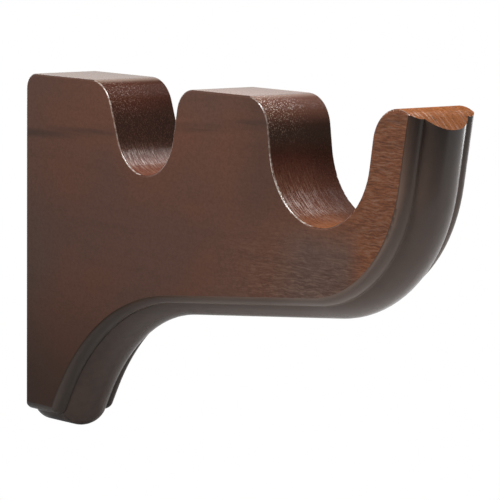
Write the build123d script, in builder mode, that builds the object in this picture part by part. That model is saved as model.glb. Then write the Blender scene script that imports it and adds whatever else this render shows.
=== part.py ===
from build123d import *

import os
from math import cos, radians, sin, tan

os.makedirs("parts", exist_ok=True)

# Double curtain pole bracket, cut from one hardwood board that stands edge-on to the wall.
# The wall face is the plane X = 0, the arm reaches out along +X, the poles lie along Y, and Z is up.
# The origin is the centre of the wall face. Lengths are in millimetres and angles in degrees.

# Board
thickness = 29.4
height = 138.0
top_corner_radius = 6.0

# Poles: how far their axes stand from the wall and below the level top
rear_pole_diameter = 35.0
front_pole_diameter = 55.0
pole_clearance = 0.4
rear_pole_reach = 77.9
front_pole_reach = 181.2
pole_drop = 16.0

# Notch walls lean open from the vertical, and their lips are rounded over
rear_back_lean = 20.0
rear_front_lean = 11.5
front_back_lean = 8.0
front_front_lean = 9.5
ridge_lip_radius = 13.0
hump_back_lip_radius = 9.5
hump_front_lip_radius = 12.3

# Arm: its wall in front of the front pole, its depth below it, and its rounded tip
arm_wall = 25.9
arm_lean = 10.4
arm_depth = 33.5
arm_rise = 5.5
arm_bend_radius = 60.3
tip_rise = 12.7
tip_slope = 40.0
tip_radius = 13.4

# Leg: the length of its foot, its slant from the horizontal, and the straight left below its bend
foot_length = 22.2
leg_slant = 59.9
leg_straight = 7.3

# Moulded edge: a round shoulder on each side of a broad bead
shoulder_width = 5.0
shoulder_height = 3.05
shoulder_bulge = 1.14
bead_height = 5.3
foot_corner_ease = 0.4

# Pilot holes for the two hanger screws that stand out of the wall
screw_hole_diameter = 6.0
screw_hole_depth = 25.0
screw_spacing = 64.0

# Rounding of the sawn arrises, and the room that the shaping cuts take past the board
arris_radius = 0.8
saw_allowance = 2.0
cutter_room = 5.0

top = height / 2
bottom = -height / 2
pole_level = top - pole_drop
rear_radius = rear_pole_diameter / 2 + pole_clearance
front_radius = front_pole_diameter / 2 + pole_clearance
side = thickness / 2
crease = side - shoulder_width
moulding_depth = shoulder_height + bead_height
foot_corner_radius = moulding_depth + foot_corner_ease


def crossing(first, first_angle, second, second_angle):
    """Point where two lines meet, each given by a point on it and its angle from +X."""
    along = Vector(cos(radians(first_angle)), sin(radians(first_angle)))
    across = Vector(cos(radians(second_angle)), sin(radians(second_angle)))
    reach = (second - first).cross(across).Z / along.cross(across).Z
    return first + along * reach


def notch_foot(pole_axis, radius, lean, way):
    """Point where a leaning notch wall runs into the round bottom, towards -X or +X (way -1 or 1)."""
    return pole_axis + Vector(way * cos(radians(lean)), -sin(radians(lean))) * radius


# Side profile: the sawn top edge
rear_axis = Vector(rear_pole_reach, pole_level)
front_axis = Vector(front_pole_reach, pole_level)
wall_top = Vector(0, top)
rear_back_foot = notch_foot(rear_axis, rear_radius, rear_back_lean, -1)
rear_front_foot = notch_foot(rear_axis, rear_radius, rear_front_lean, 1)
front_back_foot = notch_foot(front_axis, front_radius, front_back_lean, -1)
front_front_foot = notch_foot(front_axis, front_radius, front_front_lean, 1)
ridge_lip = crossing(wall_top, 0, rear_back_foot, 90 + rear_back_lean)
hump_back_lip = crossing(wall_top, 0, rear_front_foot, 90 - rear_front_lean)
hump_front_lip = crossing(wall_top, 0, front_back_foot, 90 + front_back_lean)
tip_corner = crossing(wall_top + Vector(0, tip_rise), 0, front_front_foot, 90 - front_front_lean)

# Side profile: the corners of the moulded edge, along the crest of the bead
arm_face = front_axis + Vector(front_radius + arm_wall, 0)
arm_belly = front_axis - Vector(0, front_radius + arm_depth)
foot_corner = Vector(foot_length, bottom)
arm_corner = crossing(arm_face, 90 - arm_lean, arm_belly, arm_rise)
leg_corner = crossing(arm_belly, arm_rise, foot_corner, leg_slant)

# The leg's bend takes all of its length but the short straight and the round of the foot corner
leg_length = (leg_corner - foot_corner).length
foot_corner_length = foot_corner_radius * tan(radians(leg_slant / 2))
leg_bend_length = leg_length - foot_corner_length - leg_straight
leg_bend_radius = leg_bend_length / tan(radians((leg_slant - arm_rise) / 2))

# Waste past the top edge, the tip and the wall
waste_right = arm_face.X + moulding_depth + arm_wall
waste_top = tip_corner.Y + tip_radius
waste_left = -arm_wall
waste_bottom = bottom - arm_wall
tip_end = crossing(tip_corner, -tip_slope, Vector(waste_right, 0), 90)
shaping_start = crossing(arm_face, 90 - arm_lean, Vector(0, waste_top), 0)
shaping_end = Vector(waste_left, bottom)

# The moulded edge as corners and the bends that round them
edge_corners = [
    tuple(point) for point in (shaping_start, arm_corner, leg_corner, foot_corner, shaping_end)
]
edge_bends = [arm_bend_radius, leg_bend_radius, foot_corner_radius]

# The waste of the moulded edge: the cutter's section run along each straight and round each bend
with BuildLine(Plane.XZ) as shaping_path:
    FilletPolyline(*edge_corners, radius=edge_bends)

with BuildPart() as edge_waste:
    for run in shaping_path.edges():
        with BuildSketch(Plane(origin=run @ 0, x_dir=(0, 1, 0), z_dir=run % 0)) as cutter:
            with BuildLine() as cutter_edge:
                SagittaArc((-side, -moulding_depth), (-crease, -bead_height), shoulder_bulge)
                ThreePointArc((-crease, -bead_height), (0, 0), (crease, -bead_height))
                SagittaArc((crease, -bead_height), (side, -moulding_depth), shoulder_bulge)
                Polyline(
                    (side, -moulding_depth),
                    (side + cutter_room, -moulding_depth),
                    (side + cutter_room, cutter_room),
                    (-side - cutter_room, cutter_room),
                    (-side - cutter_room, -moulding_depth),
                    (-side, -moulding_depth),
                )
            make_face()
        if run.geom_type == GeomType.LINE:
            extrude(amount=run.length)
        else:
            turn = (run % 0).cross(run % 1)
            revolve(axis=Axis(run.arc_center, turn), revolution_arc=(run % 0).get_angle(run % 1))

with BuildPart() as bracket:
    # The board, sawn a little outside the moulded edge
    with BuildSketch(Plane.XZ) as board:
        with BuildLine() as sawn_edge:
            FilletPolyline(*edge_corners, radius=edge_bends)
            Polyline(shaping_end, (waste_left, waste_top), shaping_start)
        make_face()
        offset(amount=saw_allowance)
        with BuildSketch(Plane.XZ, mode=Mode.SUBTRACT) as waste:
            with BuildLine() as sawn_top:
                Polyline((0, waste_bottom), wall_top, ridge_lip, rear_back_foot)
                ThreePointArc(rear_back_foot, rear_axis - Vector(0, rear_radius), rear_front_foot)
                Polyline(rear_front_foot, hump_back_lip, hump_front_lip, front_back_foot)
                ThreePointArc(front_back_foot, front_axis - Vector(0, front_radius), front_front_foot)
                Polyline(front_front_foot, tip_corner, tip_end)
                Polyline(
                    tip_end,
                    (waste_right, 2 * waste_top),
                    (2 * waste_left, 2 * waste_top),
                    (2 * waste_left, waste_bottom),
                    (0, waste_bottom),
                )
            make_face()
            for corner, radius in (
                (wall_top, top_corner_radius),
                (ridge_lip, ridge_lip_radius),
                (hump_back_lip, hump_back_lip_radius),
                (hump_front_lip, hump_front_lip_radius),
                (tip_corner, tip_radius),
            ):
                fillet(waste.vertices().sort_by_distance(corner)[0], radius=radius)
    extrude(amount=side, both=True)
    sanded = bracket.faces().filter_by(Axis.Y).edges() - bracket.faces().sort_by(Axis.X)[0].edges()
    fillet(sanded, radius=arris_radius)

    # The moulded edge is shaped, and the pilot holes are drilled in the wall face
    add(edge_waste.part, mode=Mode.SUBTRACT)
    with Locations(Plane(origin=(0, 0, 0), x_dir=(0, 1, 0), z_dir=(-1, 0, 0))):
        with GridLocations(0, screw_spacing, 1, 2):
            Hole(radius=screw_hole_diameter / 2, depth=screw_hole_depth)

bracket.part.label = "bracket"
export_step(bracket.part, "parts/bracket.step")
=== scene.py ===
import math

import bmesh
import bpy
from mathutils import Matrix, Vector


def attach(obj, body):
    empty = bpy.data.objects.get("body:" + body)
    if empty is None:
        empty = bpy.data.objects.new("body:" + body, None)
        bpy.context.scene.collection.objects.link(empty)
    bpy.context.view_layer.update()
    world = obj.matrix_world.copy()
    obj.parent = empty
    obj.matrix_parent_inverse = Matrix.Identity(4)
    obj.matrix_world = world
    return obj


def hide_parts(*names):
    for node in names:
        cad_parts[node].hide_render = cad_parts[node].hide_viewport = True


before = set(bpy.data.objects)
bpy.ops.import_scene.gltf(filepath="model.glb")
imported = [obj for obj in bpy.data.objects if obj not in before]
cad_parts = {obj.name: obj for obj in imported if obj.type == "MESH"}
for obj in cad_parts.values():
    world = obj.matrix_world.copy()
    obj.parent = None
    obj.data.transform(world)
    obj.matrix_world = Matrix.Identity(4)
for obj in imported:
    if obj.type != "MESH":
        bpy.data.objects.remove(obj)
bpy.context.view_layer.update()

# Bracket: one board of open-pored hardwood, its grain running out from the wall along X. It is
# bandsawn to the side profile, run past a shaper cutter along the lower edge, and sanded. A dark
# stain is wiped on, thinner towards the arm, and two thin coats of satin lacquer go over it.
weld_gap = 2e-6
facet_step = math.radians(15)
saw_cut_facing = 0.42
arris_facing = (0.42, 0.9)
lit_arris_facing = 0.1

board = bmesh.new()
board.from_mesh(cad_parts["bracket"].data)
bmesh.ops.remove_doubles(board, verts=board.verts, dist=weld_gap)
moulded = board.faces.layers.float.new("moulded")
sawn = board.faces.layers.float.new("sawn")
arris = board.faces.layers.float.new("arris")
dark_arris = board.faces.layers.float.new("dark_arris")
crease = board.verts.layers.float.new("crease")
rim = board.verts.layers.float.new("rim")


def smooth_run(first):
    """Faces reached from one face without crossing an edge that shows."""
    run, edge_of_run = {first}, [first]
    while edge_of_run:
        for edge in edge_of_run.pop().edges:
            if edge.calc_face_angle() < facet_step:
                fresh = [face for face in edge.link_faces if face not in run]
                run.update(fresh)
                edge_of_run.extend(fresh)
    return run


# The bead holds the lowest face of the board, and a shoulder lies across each of its two creases
bead = smooth_run(min(board.faces, key=lambda face: face.calc_center_median().z))
creases = {
    edge
    for face in bead
    for edge in face.edges
    if edge.calc_face_angle() >= facet_step and not edge.is_convex
}
moulding = set(bead)
for edge in creases:
    for face in edge.link_faces:
        if face not in moulding:
            moulding |= smooth_run(face)

# Where a straight runs into a bend the mesh leaves slivers in the shoulders, which belong to them
slivers = {
    face
    for face in board.faces
    if face not in moulding
    and all(
        other is face or other in moulding for edge in face.edges for other in edge.link_faces
    )
}
moulding |= slivers
shoulder_rims = {
    edge
    for face in moulding
    for edge in face.edges
    if any(other not in moulding for other in edge.link_faces)
}

# Each face is marked by how it was made: moulded, sawn, or an arris; arrises that face outwards are
# painted pale, as wear and as highlight, and the others dark
for face in board.faces:
    face.smooth = True
    face[moulded] = float(face in moulding)
    sideways = abs(face.normal.y)
    face[sawn] = float(face not in moulding and sideways < saw_cut_facing)
    on_arris = face not in moulding and arris_facing[0] < sideways < arris_facing[1]
    face[arris] = float(on_arris and face.normal.x > lit_arris_facing)
    face[dark_arris] = float(on_arris and face.normal.x <= lit_arris_facing)
for edge in board.edges:
    in_shoulder = not slivers.isdisjoint(edge.link_faces)
    edge.smooth = in_shoulder or edge.calc_face_angle() < facet_step
for mark, edges in ((crease, creases), (rim, shoulder_rims)):
    for edge in edges:
        for corner in edge.verts:
            corner[mark] = 1
bracket_mesh = bpy.data.meshes.new("bracket_wood")
board.to_mesh(bracket_mesh)
board.free()
bracket = bpy.data.objects.new("bracket_wood", bracket_mesh)
bpy.context.scene.collection.objects.link(bracket)
facing = bracket.modifiers.new("flat faces keep their shading", "WEIGHTED_NORMAL")
facing.keep_sharp = True


class Socket:
    """One output in a node tree, which takes part in plain sums; with no output, the tree alone."""

    def __init__(self, tree, output=None):
        self.tree = tree
        self.output = output

    def add(self, kind, settings, sockets, result=0):
        """Add a node of a kind, set it up, then give its sockets their values or links."""
        node = self.tree.nodes.new("ShaderNode" + kind)
        for name, value in settings.items():
            setattr(node, name, value)
        for name, value in sockets.items():
            if isinstance(value, Socket):
                self.tree.links.new(value.output, node.inputs[name])
            else:
                node.inputs[name].default_value = value
        return Socket(self.tree, node.outputs[result])

    def math(self, operation, *others):
        return self.add("Math", {"operation": operation}, dict(enumerate((self, *others))))

    def __add__(self, other):
        return self.math("ADD", other)

    def __sub__(self, other):
        return self.math("SUBTRACT", other)

    def __rsub__(self, other):
        return self * -1 + other

    def __mul__(self, other):
        return self.math("MULTIPLY", other)

    __radd__ = __add__
    __rmul__ = __mul__

    def ramp(self, start, end):
        """Rise smoothly from 0 to 1 between two values, or fall where start is the greater."""
        return self.add(
            "MapRange",
            {"interpolation_type": "SMOOTHSTEP"},
            {"Value": self, "From Min": start, "From Max": end},
        )

    def blend(self, low, high):
        """Mix two colours, this value saying how much of the second."""
        return self.add("Mix", {"data_type": "RGBA"}, {0: self, 6: low, 7: high}, 2)

    def split(self):
        parts = self.add("SeparateXYZ", {}, {0: self})
        return [Socket(self.tree, output) for output in parts.output.node.outputs]

    def scaled(self, *factors):
        return self.add("VectorMath", {"operation": "MULTIPLY"}, {0: self, 1: factors})

    def noise(self, detail=2.0, roughness=0.5):
        return self.add(
            "TexNoise",
            {},
            {"Vector": self, "Scale": 1.0, "Detail": detail, "Roughness": roughness},
        )


def new_material(name):
    material = bpy.data.materials.new(name)
    material.use_nodes = True
    return material, Socket(material.node_tree), material.node_tree.nodes["Principled BSDF"]


def wipe_on(tone, *coats):
    """Lay coats over a tone, each given by where it lies, how thick it is there and its colour."""
    for where, thickness, colour in coats:
        tone = (where * thickness).blend(tone, colour)
    return tone


wood, grain, lacquer = new_material("stained_wood")
place = grain.add("TexCoord", {}, {}, "Object")
along, across, up = place.split()
edge_cut, shaped, on_crease, on_rim, lit_arris, darkened_arris = (
    grain.add("Attribute", {"attribute_name": name}, {}, "Fac")
    for name in ("sawn", "moulded", "crease", "rim", "arris", "dark_arris")
)

# The fibres wander by a couple of millimetres as they run along the board, and ripple on the arm
fibre_drift, fibre_lift, ripple_lift = 0.003, 0.006, 0.0022
wander = place.scaled(11, 24, 24).noise(1.0) - 0.5
sway = place.scaled(190, 80, 160).noise(1.0) - 0.5
fibre_height = up + wander * fibre_lift
fibres = grain.add("CombineXYZ", {}, {0: along, 1: across + wander * fibre_drift, 2: fibre_height})
waves = grain.add("CombineXYZ", {}, {0: along, 1: across, 2: fibre_height + sway * ripple_lift})
pores = fibres.scaled(150, 1250, 1250).noise(2.0, 0.6)
streaks = fibres.scaled(14, 300, 300).noise(3.0, 0.55)
ripples = waves.scaled(250, 300, 2600).noise(1.0)
clouds = place.scaled(16, 30, 26).noise()
mottle = place.scaled(800, 1000, 1000).noise(2.0, 0.7)

# The sander leaves fine lines along the saw cuts, and end grain stands up in specks
sanding = place.scaled(45, 2500, 45).noise(1.0)
nicks = place.scaled(260, 2700, 260).noise(1.0)
tip_sanding = place.scaled(60, 1250, 60).noise(1.0, 0.6)
specks = place.scaled(420, 1200, 1200).noise(1.0)
grit = place.scaled(1800, 2300, 1800).noise(1.0)

# The stain lies thinner on the arm, the sides are painted darker towards the bottom of the leg, and
# a dark growth line runs near the top
line_height, line_slope, line_wander = 0.0447, 0.092, 0.004
thin_stain = along.ramp(0.12, 0.225)
darker_low = up.ramp(0.0, -0.06)
off_line = (up + wander * line_wander - along * line_slope - line_height).math("ABSOLUTE")
growth_line = off_line.ramp(0.003, 0.0003) * (0.2 + streaks.ramp(0.4, 0.6) * 0.4)
open_pores = pores.ramp(0.5, 0.68) * (0.12 + thin_stain * 0.38)

# Sides of the board: clouds in the stain, duller by the notch, the belly and the wall
belly = along.ramp(0.09, 0.135) * along.ramp(0.205, 0.165) * up.ramp(0.015, -0.02)
under_notch = along.ramp(0.15, 0.178) * along.ramp(0.208, 0.195) * up.ramp(0.032, 0.015)
by_notch = along.ramp(0.125, 0.15) * along.ramp(0.18, 0.165) * up.ramp(0.015, 0.04)
by_wall = along.ramp(0.03, 0.0)
low_or_on_arm = up.ramp(0.03, 0.0).math("MAXIMUM", along.ramp(0.19, 0.21))
rippled = along.ramp(0.105, 0.175) * low_or_on_arm
streaked = streaks.ramp(0.45, 0.75) * (0.1 + thin_stain * 0.25)
face_tone = wipe_on(
    thin_stain.blend((0.126, 0.051, 0.031, 1), (0.172, 0.061, 0.028, 1)),
    (
        clouds.ramp(0.35, 0.65),
        1.0,
        thin_stain.blend((0.102, 0.050, 0.036, 1), (0.198, 0.069, 0.029, 1)),
    ),
    (belly, 0.55, (0.098, 0.062, 0.050, 1)),
    (under_notch, 0.7, (0.094, 0.071, 0.062, 1)),
    (by_notch, 0.6, (0.060, 0.036, 0.028, 1)),
    (by_wall, 0.5, (0.085, 0.052, 0.042, 1)),
    (ripples.ramp(0.5, 0.66) * rippled, 0.42, (0.235, 0.145, 0.105, 1)),
    (ripples.ramp(0.5, 0.34) * rippled, 0.55, (0.075, 0.034, 0.024, 1)),
    (streaked, 1.0, (0.05, 0.025, 0.018, 1)),
    (open_pores, 0.5, (0.035, 0.017, 0.011, 1)),
    (mottle.ramp(0.35, 0.7), 0.22, (0.04, 0.018, 0.012, 1)),
    (growth_line, 1.0, (0.04, 0.025, 0.02, 1)),
    (darker_low, 0.75, (0.03, 0.017, 0.012, 1)),
)

# Saw cuts: dark in the rear notch, redder in the front one and orange on the arm, with painted
# shade on their far half and painted light on the level tops. The lips are paler and redder, and
# the sander's lines and the specks of end grain are pale, painted brighter as highlights and glints
# on the near side.
by_front = along.ramp(0.1, 0.13)
behind_front = along.ramp(0.17, 0.16)
behind_arm = along.ramp(0.2, 0.18)
in_notch = up.ramp(0.058, 0.045)
# Painted shade: the far half of the saw cuts, short of the tip, is darker
far_cut = across.ramp(-0.004, 0.012) * along.ramp(0.21, 0.19)
growth_band = off_line.ramp(0.013, 0.003) * along.ramp(0.185, 0.17)
# Painted light: the level tops are painted paler, as light falls on them
level_top = up.ramp(0.0674, 0.0688) * behind_front
lip = up.ramp(0.055, 0.064) * behind_front * (0.15 + by_front * 0.85)
rear_hollow = (1 - by_front) * up.ramp(0.045, 0.036)
sander_lines = (
    (sanding.ramp(0.56, 0.6) * 0.4 + nicks.ramp(0.56, 0.6) * 0.6)
    * along.ramp(0.197, 0.175)
    * (0.12 + across.ramp(0.012, -0.008) * 0.88)
)
# Painted highlight: the sander's lines are painted pale low in the notches and on the near side,
# where light catches them
lit_sander_lines = sander_lines * up.ramp(0.05, 0.038) * (0.3 - by_front * 0.1)
# Painted glints: pale specks of end grain at the lips on the near side
near_specks = grit.ramp(0.58, 0.66) * up.ramp(0.05, 0.063) * across.ramp(0.008, -0.012)
glint_specks = near_specks * behind_arm * (0.15 + by_front * 0.4)
cut_tone = wipe_on(
    by_front.blend((0.056, 0.021, 0.014, 1), (0.084, 0.032, 0.021, 1)),
    (along.ramp(0.155, 0.207), 1.0, (0.272, 0.092, 0.030, 1)),
    (far_cut, 0.55, (0.03, 0.014, 0.010, 1)),
    (sanding.ramp(0.45, 0.7), 0.3, (0.05, 0.017, 0.011, 1)),
    (specks.ramp(0.55, 0.7), 0.4, (0.03, 0.012, 0.008, 1)),
    (growth_band, 0.7, by_front.blend((0.022, 0.014, 0.011, 1), (0.056, 0.042, 0.034, 1))),
    (level_top, 0.35, (0.30, 0.19, 0.12, 1)),
    (lip, 0.4, (0.15, 0.050, 0.030, 1)),
    (grit.ramp(0.5, 0.68) * behind_arm, 0.25, (0.16, 0.07, 0.05, 1)),
    (rear_hollow, 0.5, (0.16, 0.055, 0.035, 1)),
    (lit_sander_lines, 1.0, (0.42, 0.25, 0.16, 1)),
    (glint_specks, 1.0, (0.55, 0.42, 0.33, 1)),
)

# Moulding: dark on the leg, with painted shade in the leg's creases and along the rims on the arm's
# top and the leg, and painted light towards the creases, on the bead, under the arm, round its bend
# and along the rims below the arm. The distances out are taken from the middle of the bead.
crease_out, side_out = 0.0097, 0.0147
out = across.math("ABSOLUTE")
on_bead = out.ramp(crease_out + 0.0002, crease_out - 0.0003)
on_shoulder = out.ramp(crease_out - 0.0002, crease_out + 0.0008)
inside_rim = out.ramp(side_out, crease_out + 0.001)
off_bead = out.ramp(crease_out - 0.0005, crease_out + 0.0002)
by_crease = inside_rim * off_bead
on_leg = along.ramp(0.075, 0.05)
under_arm = along.ramp(0.05, 0.08) * along.ramp(0.225, 0.195)
below_arm = along.ramp(0.05, 0.09) * up.ramp(0.02, -0.005)
round_bend = along.ramp(0.15, 0.18) * along.ramp(0.235, 0.215)
# Painted light on the moulding, to even out its shading: paler towards the creases, on the bead and
# under the arm
painted_light_on_moulding = along.ramp(0.06, 0.13) * (
    0.3 + by_crease * 0.6 + on_bead * 0.2 + under_arm * (1 - on_bead) * 0.45
)
shaped_tone = wipe_on(
    streaks.ramp(0.35, 0.7).blend((0.104, 0.060, 0.042, 1), (0.088, 0.052, 0.037, 1)),
    (on_leg * (1 - on_bead), 0.6, (0.082, 0.070, 0.060, 1)),
    (painted_light_on_moulding, 1.0, (0.205, 0.130, 0.096, 1)),
    # Painted light on the shoulders round the bend
    (round_bend * (1 - on_bead), 0.5, (0.32, 0.24, 0.20, 1)),
    # Painted shade along the shoulder rims on the arm's top and the leg, and a painted highlight
    # along them below the arm
    (on_rim * (1 - below_arm), 0.7, (0.02, 0.012, 0.009, 1)),
    (on_rim.ramp(0.6, 1.0) * below_arm, 0.5, (0.23, 0.17, 0.14, 1)),
    # Painted shade in the leg's creases, and a painted highlight along the creases beyond the leg
    (on_crease.ramp(0.72, 1.0) * on_leg, 0.35, (0.01, 0.007, 0.006, 1)),
    (on_crease.ramp(0.75, 1.0) * along.ramp(0.07, 0.1), 0.4, (0.28, 0.20, 0.165, 1)),
)

# The arrises of the near side that face outwards are painted pale in broken flecks, partly wear
# through to pale wood and partly a painted highlight
flecks = 0.3 + specks.ramp(0.35, 0.6) * 0.7
off_growth_line = 1 - off_line.ramp(0.014, 0.004) * 0.6
worn_and_highlit = lit_arris * flecks * across.ramp(0.0, -0.01) * off_growth_line
tone = wipe_on(
    edge_cut.blend(face_tone, cut_tone),
    (worn_and_highlit, 0.7, (0.5, 0.45, 0.4, 1)),
    # Arrises that face up or back towards the wall are painted dark
    (darkened_arris, 0.6, (0.04, 0.020, 0.014, 1)),
    (shaped, 1.0, shaped_tone),
)

# The film of lacquer is whole on the sides, broken along the sander's lines and thin on the arm's
# cuts. It is rubbed thinner on the shoulders, in the leg's creases and on the bead under the arm.
tip_lines = tip_sanding.ramp(0.55, 0.65) * along.ramp(0.212, 0.222)
film_dots = (
    grit.ramp(0.56, 0.64)
    * (0.2 + across.ramp(0.012, -0.010) * 0.8)
    * (0.35 + by_front * 0.65)
    * along.ramp(0.2, 0.17)
)
cut_film = (
    0.03
    + tip_lines * (0.15 + across.ramp(0.0, -0.012) * 0.25)
    + in_notch * sander_lines * (0.75 - by_front * 0.35)
    + (1 - by_front) * up.ramp(0.05, 0.04) * 0.15
    + (1 - in_notch) * film_dots * (0.55 - level_top * 0.4)
    + level_top * 0.65
)
bead_under_arm = on_bead * along.ramp(0.06, 0.09) * along.ramp(0.19, 0.16)
leg_creases = on_crease.ramp(0.6, 1.0) * along.ramp(0.14, 0.08)
film = (
    1
    + edge_cut * (cut_film - 1)
    - darkened_arris * 0.8
    - shaped * (bead_under_arm * 0.25 + on_shoulder * 0.35 + leg_creases * 0.5)
)
satin = 0.35 + open_pores * 0.2 + edge_cut * 0.15

# Open pores sink in the sides, and the sander's lines and specks stand up on the saw cuts
side_relief = (1 - edge_cut) * (1 - shaped * 0.8) * (0.2 + thin_stain * 0.8)
sunk_pores = pores.ramp(0.45, 0.7) * side_relief
raised_lines = edge_cut * (sanding * 1.3 + specks * 0.8)
relief = grain.add(
    "Bump",
    {},
    {"Strength": 0.2, "Distance": 0.0003, "Height": raised_lines - sunk_pores},
)
varying = {"Base Color": tone, "Coat Weight": film, "Roughness": satin, "Normal": relief}
for name, value in varying.items():
    wood.node_tree.links.new(value.output, lacquer.inputs[name])
uniform = {"IOR": 1.5, "Specular IOR Level": 0.0, "Coat Roughness": 0.2, "Coat IOR": 1.5}
for name, value in uniform.items():
    lacquer.inputs[name].default_value = value
bracket_mesh.materials.append(wood)

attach(bracket, "root")
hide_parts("bracket")

# Floor and backdrop: a sheet of white paper under the bracket and a white card behind it, both set
# square to the camera. The card shows white in reflections; the paper shows a painted pool of light
# there, brightest round a spot near the arm and behind the bracket. Both take the light otherwise,
# and the camera sees past them to the white room.
camera_turn = math.radians(52)
floor_level = -0.069
floor_width, floor_depth = 0.9, 1.3
floor_centre = (0.42, 0.05, floor_level)
card_width, card_height = 2.4, 1.0
card_away, card_shift, card_lift = 0.75, 0.1, 0.15
light_pool_centre = (0.3, 0.09, floor_level)


def show_white(tree, shader, share):
    """Show a share of white in mirrors and through glass, and let the camera see past the sheet."""
    plain = Socket(tree.tree, shader.outputs[0])
    mirrored = tree.add("LightPath", {}, {}, "Is Glossy Ray")
    through_glass = tree.add("LightPath", {}, {}, "Is Transmission Ray")
    in_view = tree.add("LightPath", {}, {}, "Is Camera Ray")
    white = tree.add("Emission", {}, {"Strength": 1.0})
    clear = tree.add("BsdfTransparent", {}, {})
    lit = tree.add("MixShader", {}, {0: (mirrored + through_glass) * share, 1: plain, 2: white})
    seen = tree.add("MixShader", {}, {0: in_view, 1: lit, 2: clear})
    tree.tree.links.new(seen.output, tree.tree.nodes["Material Output"].inputs[0])


def flat_sheet(width, depth):
    sheet = bmesh.new()
    bmesh.ops.create_grid(sheet, x_segments=1, y_segments=1, size=0.5)
    bmesh.ops.scale(sheet, verts=sheet.verts, vec=(width, depth, 1))
    return sheet


paper, paper_tree, paper_white = new_material("white_paper")
paper_white.inputs["Base Color"].default_value = (0.3, 0.3, 0.3, 1)
paper_white.inputs["Roughness"].default_value = 0.9
spot = paper_tree.add("TexCoord", {}, {}, "Object")
spread = paper_tree.add("VectorMath", {"operation": "DISTANCE"}, {0: spot, 1: light_pool_centre}, "Value")
floor_y = spot.split()[1]
# Painted light: how much white the paper shows in reflections, a pool round a spot near the arm and
# a band behind the bracket
painted_light_pool = (
    0.12
    + spread.ramp(0.26, 0.12) * 0.75
    + floor_y.ramp(0.05, 0.13) * 0.6
    + floor_y.ramp(0.24, 0.36) * 0.4
)
show_white(paper_tree, paper_white, painted_light_pool)
card, card_tree, card_white = new_material("white_card")
card_white.inputs["Base Color"].default_value = (0.8, 0.8, 0.8, 1)
show_white(card_tree, card_white, 1.0)

to_camera = Matrix.Rotation(camera_turn, 3, "Z")
stood_up = Matrix.Rotation(math.radians(90), 3, "X")
floor_sheet = flat_sheet(floor_width, floor_depth)
bmesh.ops.translate(floor_sheet, verts=floor_sheet.verts, vec=floor_centre)
bmesh.ops.rotate(floor_sheet, verts=floor_sheet.verts, matrix=to_camera)
card_sheet = flat_sheet(card_width, card_height)
bmesh.ops.rotate(card_sheet, verts=card_sheet.verts, matrix=stood_up)
bmesh.ops.rotate(card_sheet, verts=card_sheet.verts, matrix=to_camera)
behind = Vector((-math.sin(camera_turn), math.cos(camera_turn), 0)) * card_away
card_centre = behind + Vector((card_shift, 0, floor_level + card_lift + card_height / 2))
bmesh.ops.translate(card_sheet, verts=card_sheet.verts, vec=card_centre)
for stage_name, sheet, white in (("floor", floor_sheet, paper), ("backdrop", card_sheet, card)):
    stage_mesh = bpy.data.meshes.new(stage_name)
    sheet.to_mesh(stage_mesh)
    sheet.free()
    stage_mesh.materials.append(white)
    stage = bpy.data.objects.new(stage_name, stage_mesh)
    bpy.context.scene.collection.objects.link(stage)

# Studio light: a dim room that shows white to the camera, and five soft boxes on stands. One hangs
# behind and above the saw cuts, one lights the near side from the front, one low at the back draws
# the rim of the arm, and two fill the shade on the leg and on the wall face.
room = bpy.data.worlds.new("studio")
bpy.context.scene.world = room
room.use_nodes = True
room_tree = Socket(room.node_tree)
dim = room_tree.add("Background", {}, {"Color": (0.08, 0.08, 0.08, 1)})
plain_white = room_tree.add("Background", {}, {"Color": (1, 1, 1, 1)})
in_view = room_tree.add("LightPath", {}, {}, "Is Camera Ray")
room_shown = room_tree.add("MixShader", {}, {0: in_view, 1: dim, 2: plain_white})
room.node_tree.links.new(room_shown.output, room.node_tree.nodes["World Output"].inputs[0])


def soft_box(name, stand, aim, size, watts):
    lamp = bpy.data.lights.new(name, "AREA")
    lamp.shape = "RECTANGLE"
    lamp.size, lamp.size_y = size
    lamp.energy = watts
    box = bpy.data.objects.new(name, lamp)
    box.location = stand
    box.rotation_euler = (Vector(aim) - Vector(stand)).to_track_quat("-Z", "Y").to_euler()
    bpy.context.scene.collection.objects.link(box)


soft_box("back_box", stand=(0.12, 0.37, 0.45), aim=(0.12, 0, 0.03), size=(0.36, 0.22), watts=1.8)
soft_box("front_box", stand=(0.15, -0.27, 0.42), aim=(0.12, 0, 0), size=(0.18, 0.18), watts=3.4)
soft_box("rim_box", stand=(0.05, 0.75, 0.08), aim=(0.2, 0, 0), size=(0.3, 0.5), watts=2.0)
soft_box("left_fill", stand=(-0.5, -0.45, 0.05), aim=(0.1, 0, 0), size=(0.8, 0.8), watts=0.15)
soft_box("wall_fill", stand=(-0.5, 0.05, 0.2), aim=(0, 0, 0), size=(0.4, 0.4), watts=2.0)

# Camera: stands off the end of the arm on the near side, a little above the poles, with a long lens
# about 1.4 m away. It sees the near side, the saw cuts and the whole moulded edge.
elevation, roll = math.radians(6.76), math.radians(0.47)
aim = Vector((0.05473, 0.05401, 0.00017))
distance = 1.3927
picture_width = 500
focal_pixels = 3552
back = Vector(
    (
        math.sin(camera_turn) * math.cos(elevation),
        -math.cos(camera_turn) * math.cos(elevation),
        math.sin(elevation),
    )
)
level = Vector((math.cos(camera_turn), math.sin(camera_turn), 0))
plumb = back.cross(level)
right = level * math.cos(roll) + plumb * math.sin(roll)
upright = plumb * math.cos(roll) - level * math.sin(roll)
lens = bpy.data.cameras.new("camera")
lens.sensor_width = 36
lens.lens = focal_pixels / picture_width * lens.sensor_width
lens.clip_end = 20
camera = bpy.data.objects.new("camera", lens)
turned = Matrix((right, upright, back)).transposed().to_4x4()
camera.matrix_world = Matrix.Translation(aim + back * distance) @ turned
bpy.context.scene.collection.objects.link(camera)
bpy.context.scene.camera = camera
bpy.context.scene.view_settings.view_transform = "Standard"
